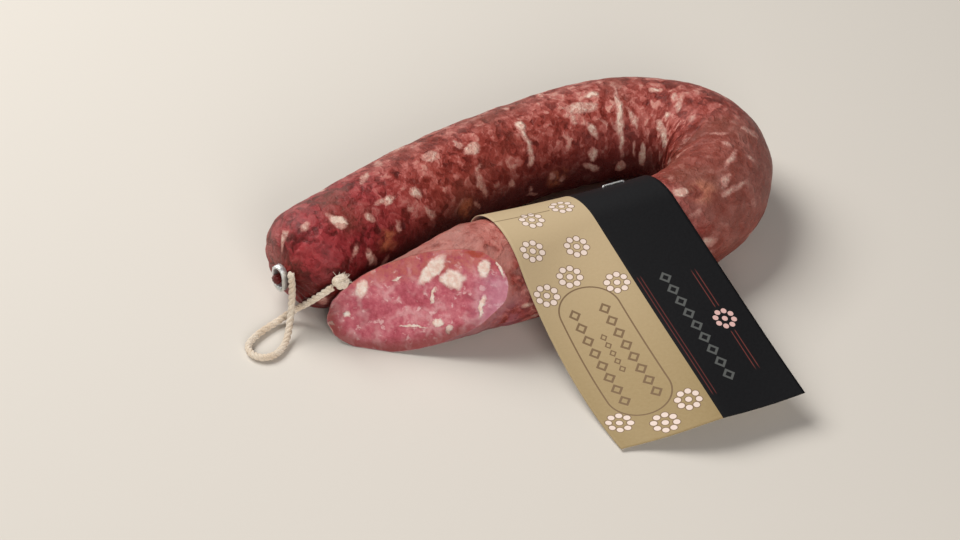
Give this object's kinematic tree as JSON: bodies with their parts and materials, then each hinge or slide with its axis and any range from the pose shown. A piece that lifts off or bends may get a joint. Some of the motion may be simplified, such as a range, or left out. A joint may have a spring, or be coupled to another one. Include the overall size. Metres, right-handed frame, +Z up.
{
  "type": "cured sausage",
  "caption": "Horseshoe-shaped dry-cured sausage lying on its side, tied off with a clip and twine at one end, cut on the bias at the other, with a paper label band over the front arm.",
  "frame": {"origin": "middle of the footprint of the sausage with its label band, on the surface it lies on", "axes": "+X along the arms towards the bend, +Y from the front arm to the back arm, +Z up"},
  "size_m": [0.2207, 0.1799, 0.0411],
  "materials": {
    "casing": "dry natural casing, red-brown with pale fat specks, satin sheen",
    "cut_face": "moist cut meat, pink with cream fat and fine marbling",
    "clip_metal": "satin drawn wire",
    "cotton_twine": "matte twisted cotton",
    "label_paper": null
  },
  "bodies": {
    "root": {"sausage": "casing", "end_clip": "clip_metal", "twine": "cotton_twine", "twine_knot": "cotton_twine", "label_band": "label_paper", "label_staple": "clip_metal"}
  },
  "joints": []
}
